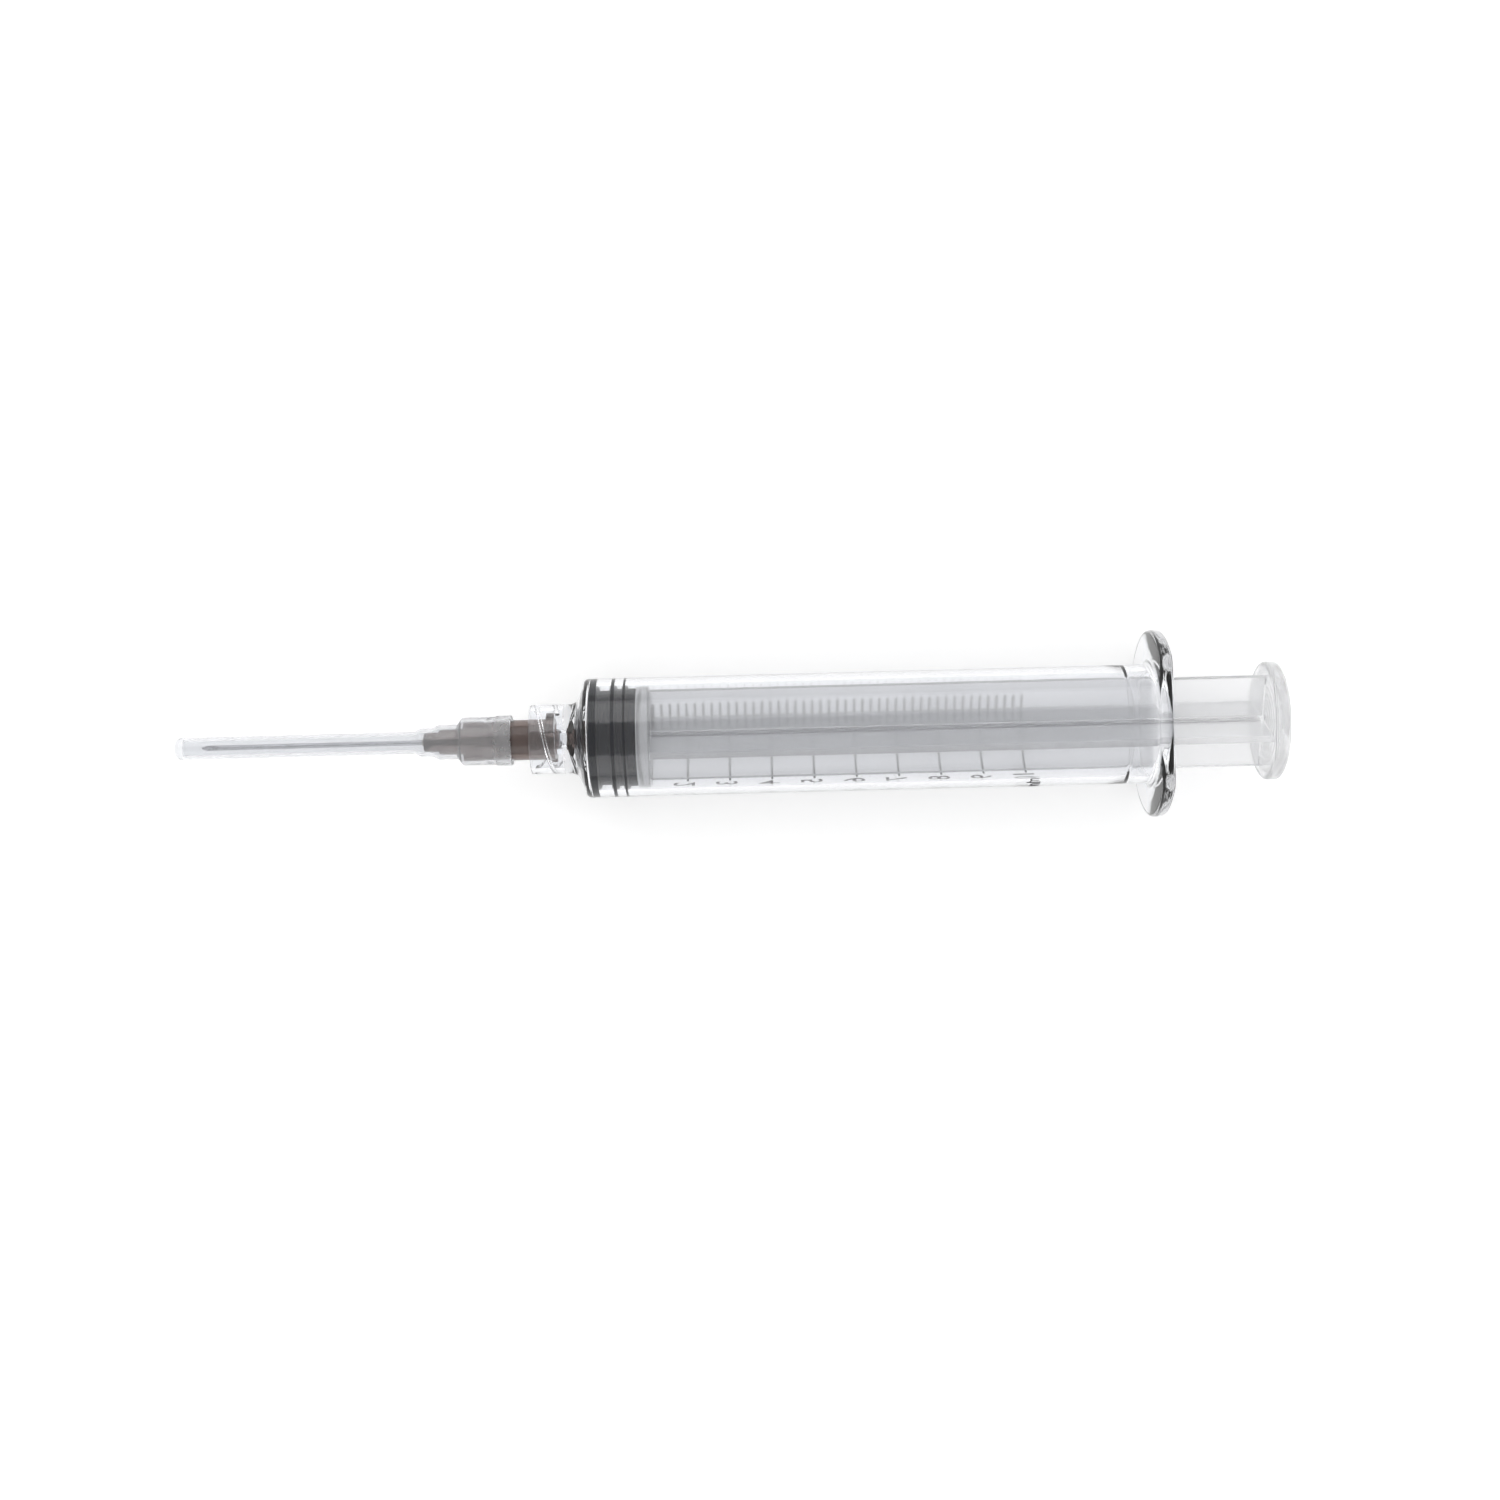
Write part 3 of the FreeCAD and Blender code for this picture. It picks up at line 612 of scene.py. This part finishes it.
# The luer socket, and the needle tube's hole in front of it
SOCKET_GAP = 0.03
SOCKET_LENGTH = 7.9
SOCKET_EASE = 0.06
SOCKET_PLACES = (-8.0, -10.0, -12.0)
SOCKET_LIP = 2.6
HUB_CHANNEL = 0.6
CHANNEL_LENGTH = 3.0
TUBE_HOLE = 0.38
TUBE_HOLE_START = 1.4


def lugs(inset):
    """The hub's skirt with its two lugs, moved in by an inset."""
    places = [90.0 + LUG_ANGLE, 270.0 + LUG_ANGLE]

    def radius(angle):
        away = math.radians(abs(nearest(angle, places)))
        side = (LUG_HALF - inset) / max(math.sin(away), TINY)
        return max(SKIRT_RADIUS, min(LUG_REACH - inset, side))
    return radius


def ribs(reach, half, foot=RIB_FOOT):
    """The hub's ribbed part, with four ribs whose flanks lean out a little towards their feet."""
    places = [RIB_ANGLE + 90.0 * number for number in range(4)]

    def radius(angle):
        away = math.radians(abs(nearest(angle, places)))
        lean = max(math.sin(away) + RIB_SLOPE * math.cos(away), TINY)
        return max(foot, min(reach, (half + RIB_SLOPE * reach) / lean))
    return radius


def flank_angle(radius):
    """How far from a rib's middle its flank is at a radius."""
    lean = math.hypot(1.0, RIB_SLOPE)
    share = (RIB_HALF + RIB_SLOPE * RIB_REACH) / (radius * lean)
    return math.degrees(math.asin(share) - math.atan(RIB_SLOPE))


def hub_angles():
    """The exact angles at which the lugs and the ribs have their edges."""
    exact = []
    for middle in (90.0 + LUG_ANGLE, 270.0 + LUG_ANGLE):
        for inset in (0.0, BEVEL):
            for radius in (LUG_REACH - inset, SKIRT_RADIUS):
                turn = math.degrees(math.asin((LUG_HALF - inset) / radius))
                exact += [middle - turn, middle + turn]
    for number in range(4):
        middle = RIB_ANGLE + 90.0 * number
        for radius in (RIB_REACH - BELOW_TOP, RIB_STEP, RIB_FOOT):
            turn = flank_angle(radius)
            exact += [middle - turn, middle + turn]
    return exact


def hub_outside():
    """Rings from the nose back to the lugs."""
    rings = [(HUB_FRONT, NOSE_MOUTH), *eased(HUB_FRONT, NOSE_RADIUS, HUB_EASE, HUB_CORNER)]
    rings += [(SHANK_FRONT, NOSE_RADIUS), *eased(SHANK_FRONT, SHANK_RADIUS, HUB_EASE, HUB_CORNER)]
    rings += [(RIB_FRONT, SHANK_RADIUS), (RIB_FRONT, RIB_FOOT)]
    rings += [(RIB_FRONT, ribs(RIB_REACH - BEVEL, RIB_HALF - BEVEL))]
    step = RIB_FRONT + STEP_START
    rings += [(x, ribs(RIB_REACH, RIB_HALF)) for x in (RIB_FRONT + BEVEL, step)]
    rings += [(step + STEP_RUN, ribs(RIB_REACH, RIB_HALF, RIB_STEP))]
    end = GRIP_FRONT - RIB_END
    for back in RIB_END_RINGS:
        half = math.sqrt(RIB_HALF ** 2 - (RIB_HALF - back) ** 2)
        rings.append((end - back, ribs(RIB_REACH, half, RIB_STEP)))
    rings += [(end, RIB_STEP), (GRIP_FRONT - BEVEL, RIB_STEP)]
    rings += [(GRIP_FRONT, GRIP_RADIUS - GRIP_EASE), (GRIP_FRONT + GRIP_EASE, GRIP_RADIUS)]
    rings += [(SKIRT_FRONT, GRIP_RADIUS), (SKIRT_FRONT, SKIRT_RADIUS - SKIRT_EASE)]
    rings += [(SKIRT_FRONT + SKIRT_EASE, SKIRT_RADIUS), (HUB_REAR - LUG_LENGTH, SKIRT_RADIUS)]
    rings += [(HUB_REAR - LUG_LENGTH, lugs(BEVEL))]
    rings += [(HUB_REAR - LUG_LENGTH + BEVEL, lugs(0.0)), (HUB_REAR - BEVEL, lugs(0.0))]
    return rings


def socket(x):
    """The radius of the luer socket's taper at a place."""
    return luer(x) + SOCKET_GAP


def hub_inside():
    """Rings from the rear face forward through the socket to the needle tube's hole."""
    rings = [(HUB_REAR, lugs(BEVEL)), (HUB_REAR, SOCKET_LIP)]
    rings += [(HUB_REAR, socket(HUB_REAR) + SOCKET_EASE), (HUB_REAR - BEVEL, socket(HUB_REAR))]
    rings += [(x, socket(x)) for x in SOCKET_PLACES]
    end = HUB_REAR - SOCKET_LENGTH
    rings += [(end + SOCKET_EASE, socket(end)), (end, socket(end) - SOCKET_EASE)]
    rings += [(end, HUB_CHANNEL), (end - CHANNEL_LENGTH, HUB_CHANNEL)]
    rings += [(end - CHANNEL_LENGTH, TUBE_HOLE), (HUB_FRONT + TUBE_HOLE_START, TUBE_HOLE)]
    return rings


def make_hub():
    rings = [*hub_outside(), *hub_inside()]
    hub = skin("hub_moulding", rings, turns(HUB_SIDES, hub_angles()))
    paint(hub, HUB)
    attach(hub, "needle")
    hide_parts("needle_hub")


# Needle guard

GUARD_SIDES = 160
GUARD_CLEARANCE = 0.08
GUARD_WALL = 0.55
GUARD_END_WALL = 1.2
NEEDLE_REACH = 31.2
NEEDLE_ROOM = 2.4
SEAT_OFFSET = 0.35
SHEATH_BORE = 1.0
SHEATH_OUTSIDE = SHEATH_BORE + GUARD_WALL
SHEATH_EASE = 0.1
SHEATH_PLACES = (-35.0, -45.0, -52.0)
END_ROUND = 0.9
# At each of the guard's steps, how far in front of its place the outer skin starts to fall,
# bends and ends, and where the inner one has risen
FALL_START = 0.1
FALL_BEND = 0.3
FALL_EASE = 0.06
STEP_END = 1.0
INNER_RISE = 0.2
# The frosted rim: places in front of the guard's rear, and how far it stands out there
RIM_SETBACK = 0.2
RIM_MOUTH = 0.1
RIM_LENGTH = 2.25
RIM_OUTLINE = ((0.0, 0.02), (0.1, 0.12), (2.1, 0.12), (2.2, 0.06), (RIM_LENGTH, 0.0))
# A fine ring round the grip: places behind the ribs' front, and how far it stands out there
FINE_RING = ((3.1, 0.0), (3.0, 0.05), (2.9, 0.05), (2.8, 0.0))


def make_guard():
    inner_end = HUB_FRONT - NEEDLE_REACH - NEEDLE_ROOM
    tip = inner_end - GUARD_END_WALL
    rear = SKIRT_FRONT - RIM_SETBACK
    seat = HUB_FRONT - SEAT_OFFSET
    grip = GRIP_RADIUS + GUARD_CLEARANCE
    shank = SHANK_RADIUS + GUARD_CLEARANCE
    end = NOSE_RADIUS + GUARD_CLEARANCE
    # The guard's three steps: where each is, and the inner radii in front of it and behind it
    steps = [(seat, SHEATH_BORE, end), (SHANK_FRONT, end, shank), (RIB_FRONT, shank, grip)]
    inside = [(inner_end, 0.0), (inner_end, SHEATH_BORE - SHEATH_EASE)]
    inside += [(inner_end + SHEATH_EASE, SHEATH_BORE)]
    inside += [(x, SHEATH_BORE) for x in reversed(SHEATH_PLACES)]
    for place, ahead, behind in steps:
        inside += [(place - STEP_END, ahead), (place - INNER_RISE, behind)]
    inside += [(rear - RIM_MOUTH, grip)]
    outside = [(rear, grip + RIM_MOUTH)]
    outside += [(rear - ahead, grip + GUARD_WALL + rise) for ahead, rise in RIM_OUTLINE]
    outside += [(RIB_FRONT + back, grip + GUARD_WALL + rise) for back, rise in FINE_RING]
    for place, ahead, behind in reversed(steps):
        top = behind + GUARD_WALL
        outside += [(place - FALL_START, top), (place - FALL_BEND, top - FALL_EASE)]
        outside += [(place - STEP_END, ahead + GUARD_WALL)]
    outside += [(x, SHEATH_OUTSIDE) for x in SHEATH_PLACES]
    outside += arc(tip + END_ROUND, SHEATH_OUTSIDE - END_ROUND, END_ROUND, 90, 180, 7)
    outside += [(tip, 0.0)]
    guard = skin("guard_moulding", [*inside, *outside], turns(GUARD_SIDES))
    paint(guard, GUARD)
    guard.data.materials.append(RIM)
    for face in guard.data.polygons:
        if face.center.x > (rear - RIM_LENGTH) * MM:
            face.material_index = 1
    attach(guard, "guard")
    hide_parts("needle_guard")


# Scale numerals, printed on the barrel's underside

# The length of bore that holds a millilitre
MILLILITRE = 1000.0 / (math.pi * BORE ** 2)
MILLILITRES = 10
NUMERAL_EDGE = 204.5
NUMERAL_HEIGHT = 3.0
# How far behind its line a numeral's foot stands
NUMERAL_OFFSET = 1.0
UNIT_EDGE = NUMERAL_EDGE - 31.0
UNIT_HEIGHT = 1.9
# A capital's height as a share of the font's size
CAPITAL_SHARE = 0.7
INK_HALF = 0.012
INK_SPREAD = 0.03
INK_MIDDLE = 0.016


def printed(text, height, foot, edge):
    """Letters laid on the barrel, with their tops towards the needle, read from outside.

    foot is where they stand along the axis, and edge is the angle at which the text starts.
    """
    curve = bpy.data.curves.new("letters", "FONT")
    curve.body = text
    curve.size = height * MM / CAPITAL_SHARE
    curve.extrude = INK_HALF * MM
    curve.offset = INK_SPREAD * MM
    holder = shown("letters", curve)
    bpy.context.view_layer.update()
    flat = bpy.data.meshes.new_from_object(holder)
    bpy.data.objects.remove(holder)
    left = min(vert.co.x for vert in flat.vertices) / MM
    points = []
    for vert in flat.vertices:
        across, up, out = vert.co / MM
        reach = OUTSIDE + INK_MIDDLE + out
        turn = math.radians(edge) - (across - left) / OUTSIDE
        points.append(((foot - up) * MM, reach * math.cos(turn) * MM, reach * math.sin(turn) * MM))
    faces = [tuple(face.vertices) for face in flat.polygons]
    bpy.data.meshes.remove(flat)
    return points, faces


def make_numerals():
    verts = []
    faces = []
    jobs = []
    for count in range(1, MILLILITRES + 1):
        foot = count * MILLILITRE + NUMERAL_OFFSET
        jobs.append((str(count), NUMERAL_HEIGHT, foot, NUMERAL_EDGE))
    jobs.append(("ml", UNIT_HEIGHT, MILLILITRES * MILLILITRE + NUMERAL_OFFSET, UNIT_EDGE))
    for text, height, foot, edge in jobs:
        points, parts = printed(text, height, foot, edge)
        start = len(verts)
        verts += points
        faces += [tuple(start + index for index in part) for part in parts]
    mesh = bpy.data.meshes.new("scale_numerals")
    mesh.from_pydata(verts, [], faces)
    numerals = shown("scale_numerals", mesh)
    paint(numerals, INK)
    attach(numerals, "barrel")


make_barrel()
make_stopper()
make_rod()
make_hub()
make_guard()
make_numerals()
paint(nodes["scale_lines"], INK)
paint(nodes["cannula"], STEEL)
paint(nodes["hub_adhesive"], ADHESIVE)


# Floor, light and camera

# What the surround gives as light near the horizon and overhead, and what the floor adds to its
# own shade where it is seen directly and through a clear piece; a strength of 1 is white.
HORIZON_LIGHT = 0.9
ZENITH_LIGHT = 0.65
FLOOR_GLOW = 0.4
FLOOR_GLOW_THROUGH = 0.28
FLOOR_SHADE = (0.8, 0.8, 0.8, 1.0)
FLOOR_REACH = 3000.0
WHITE = (1.0, 1.0, 1.0, 1.0)
# Where the flange rests on the floor
FLANGE_MIDDLE = 77.2

# Lamps and camera: places, panel sizes and clips in metres, power in watts, roll in degrees, and
# the sensor's width and the focal length in millimetres
LAMP_TARGET = (0.02, 0.0, 0.0)
KEY_PLACE = (-0.15, 0.75, 0.6)
KEY_SIZE = (1.4, 0.8)
KEY_POWER = 3.6
FILL_PLACE = (0.2, -0.7, 0.5)
FILL_SIZE = (1.2, 0.7)
FILL_POWER = 2.0
CAMERA_PLACE = (0.02084, -0.00222, 0.27)
CAMERA_ROLL = 1.507
SENSOR_WIDTH = 36.0
FOCAL_LENGTH = 46.46
NEAR_CLIP = 0.01
FAR_CLIP = 20.0


def worked(tree, operation, *terms):
    """A step of arithmetic in a node tree, on numbers and on other nodes' outputs."""
    step = tree.nodes.new("ShaderNodeMath")
    step.operation = operation
    for place, term in enumerate(terms):
        if isinstance(term, float):
            step.inputs[place].default_value = term
        else:
            tree.links.new(term, step.inputs[place])
    return step.outputs[0]


def make_floor():
    """A white floor that slopes a little, so that the flange and the barrel's front rest on it."""
    slope = (FLANGE_FLAT - OUTSIDE) / (FLANGE_MIDDLE - SHOULDER)

    def corner(x, y):
        return (x * MM, y * MM, (-FLANGE_FLAT + slope * (FLANGE_MIDDLE - x)) * MM)

    reach = FLOOR_REACH
    verts = [corner(-reach, -reach), corner(reach, -reach), corner(reach, reach), corner(-reach, reach)]
    mesh = bpy.data.meshes.new("floor")
    mesh.from_pydata(verts, [], [(0, 1, 2, 3)])
    floor = shown("floor", mesh)
    made = bpy.data.materials.new("floor")
    made.use_nodes = True
    tree = made.node_tree
    tree.nodes.clear()
    out = tree.nodes.new("ShaderNodeOutputMaterial")
    plain = tree.nodes.new("ShaderNodeBsdfDiffuse")
    plain.inputs["Color"].default_value = FLOOR_SHADE
    seen = tree.nodes.new("ShaderNodeAddShader")
    glow = tree.nodes.new("ShaderNodeEmission")
    glow.inputs["Color"].default_value = WHITE
    path = tree.nodes.new("ShaderNodeLightPath")
    direct = worked(tree, "MAXIMUM", path.outputs["Is Camera Ray"], path.outputs["Is Glossy Ray"])
    direct = worked(tree, "MULTIPLY", direct, FLOOR_GLOW)
    through = worked(tree, "MULTIPLY", path.outputs["Is Transmission Ray"], FLOOR_GLOW_THROUGH)
    strength = worked(tree, "MAXIMUM", direct, through)
    tree.links.new(strength, glow.inputs["Strength"])
    tree.links.new(plain.outputs[0], seen.inputs[0])
    tree.links.new(glow.outputs[0], seen.inputs[1])
    tree.links.new(seen.outputs[0], out.inputs["Surface"])
    floor.data.materials.append(made)


def make_world():
    """A pale surround, white where it is seen directly, and dimmer overhead as light."""
    world = bpy.data.worlds.new("surround")
    bpy.context.scene.world = world
    world.use_nodes = True
    tree = world.node_tree
    tree.nodes.clear()
    place = tree.nodes.new("ShaderNodeTexCoord")
    parts = tree.nodes.new("ShaderNodeSeparateXYZ")
    tree.links.new(place.outputs["Generated"], parts.inputs[0])
    overhead = worked(tree, "MULTIPLY", parts.outputs["Z"], parts.outputs["Z"])
    light = worked(tree, "MULTIPLY_ADD", overhead, ZENITH_LIGHT - HORIZON_LIGHT, HORIZON_LIGHT)
    path = tree.nodes.new("ShaderNodeLightPath")
    even = tree.nodes.new("ShaderNodeBackground")
    strength = worked(tree, "MAXIMUM", light, path.outputs["Is Camera Ray"])
    tree.links.new(strength, even.inputs["Strength"])
    even.inputs["Color"].default_value = WHITE
    out = tree.nodes.new("ShaderNodeOutputWorld")
    tree.links.new(even.outputs[0], out.inputs["Surface"])


def make_light(name, place, size, power):
    """A soft panel lamp that faces the syringe."""
    data = bpy.data.lights.new(name, "AREA")
    data.shape = "RECTANGLE"
    data.size = size[0]
    data.size_y = size[1]
    data.energy = power
    lamp = shown(name, data)
    lamp.location = place
    lamp.rotation_mode = "QUATERNION"
    lamp.rotation_quaternion = (Vector(LAMP_TARGET) - Vector(place)).to_track_quat("-Z", "Y")


def make_camera():
    """The photograph's view: from straight above, turned a little about the view's axis."""
    data = bpy.data.cameras.new("camera")
    data.sensor_width = SENSOR_WIDTH
    data.lens = FOCAL_LENGTH
    data.clip_start = NEAR_CLIP
    data.clip_end = FAR_CLIP
    camera = shown("camera", data)
    camera.location = CAMERA_PLACE
    camera.rotation_euler = (0.0, 0.0, -math.radians(CAMERA_ROLL))
    bpy.context.scene.camera = camera


make_floor()
make_world()
make_light("key", KEY_PLACE, KEY_SIZE, KEY_POWER)
make_light("fill", FILL_PLACE, FILL_SIZE, FILL_POWER)
make_camera()

scene = bpy.context.scene
scene.view_settings.view_transform = "Standard"
